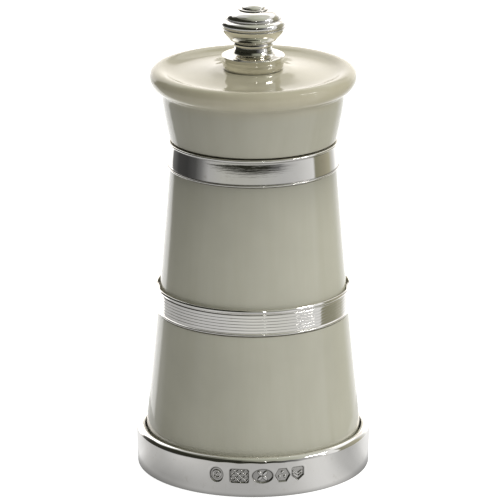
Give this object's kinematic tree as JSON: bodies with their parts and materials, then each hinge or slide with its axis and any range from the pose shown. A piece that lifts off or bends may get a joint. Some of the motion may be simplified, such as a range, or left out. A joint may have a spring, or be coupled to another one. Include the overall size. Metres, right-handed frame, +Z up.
{
  "type": "pepper mill",
  "caption": "Small pepper mill: cream tapered body with silver foot ring, reeded middle band, upper band, turning dished head and a stepped finial that sets the grind.",
  "frame": {"origin": "on the mill's own axis, at the plane the foot ring stands on", "axes": "+Z up along the mill's turning axis; the retaining bar and the bridge lie along X; the mill is turned, so front (-Y) is only where it is looked at from"},
  "size_m": [0.0526, 0.0526, 0.106],
  "materials": {
    "acrylic": "polished cream acrylic",
    "silver": "polished silver",
    "steel": "bright turned steel",
    "burr_steel": "hardened and tempered steel",
    "brass": "turned brass",
    "felt": "dark green felt",
    "nylon": "turned nylon"
  },
  "bodies": {
    "mill_body": {"body_lower": "acrylic", "body_upper": "acrylic", "foot_ring": "silver", "middle_band": "silver", "upper_band": "silver", "base_pad": "felt", "grinder_housing": "steel", "stator_burr": "burr_steel", "bridge": "steel", "retaining_bar": "steel", "bar_screw_1": "steel", "bar_screw_2": "steel"},
    "drive": {"thrust_washer": "steel", "spring": "steel"},
    "spindle": {"shaft": "steel", "rotor_burr": "burr_steel", "spring_seat": "steel", "shaft_clip": "steel"},
    "head": {"head_cap": "acrylic", "drive_plate": "steel", "plate_screw_1": "steel", "plate_screw_2": "steel", "head_bush": "nylon"},
    "finial_seat": {"finial_collar": "silver"},
    "finial": {"finial_knob": "silver", "thread_insert": "brass", "finial_button": "silver"}
  },
  "joints": [
    {"name": "head_turn", "type": "hinge", "parent": "mill_body", "child": "drive", "pos_m": [0, 0, 0.0756], "axis": [0, 0, 1], "continuous": true},
    {"name": "grind_slide", "type": "slide", "parent": "drive", "child": "spindle", "axis": [0, 0, 1], "range_m": [-0.00079, 0.0005], "deforming": ["spring"]},
    {"name": "head_lift", "type": "slide", "parent": "drive", "child": "head", "axis": [0, 0, 1], "range_m": [0, 0.036]},
    {"name": "knob_lift", "type": "slide", "parent": "head", "child": "finial_seat", "axis": [0, 0, 1], "range_m": [0, 0.016]},
    {"name": "knob_turn", "type": "hinge", "parent": "finial_seat", "child": "finial", "pos_m": [0, 0, 0.09575], "axis": [0, 0, 1], "range_deg": [-226, 361]}
  ],
  "couplings": [
    {"joint": "knob_turn", "follows": "grind_slide", "rad_per_m": -7913.3}
  ]
}
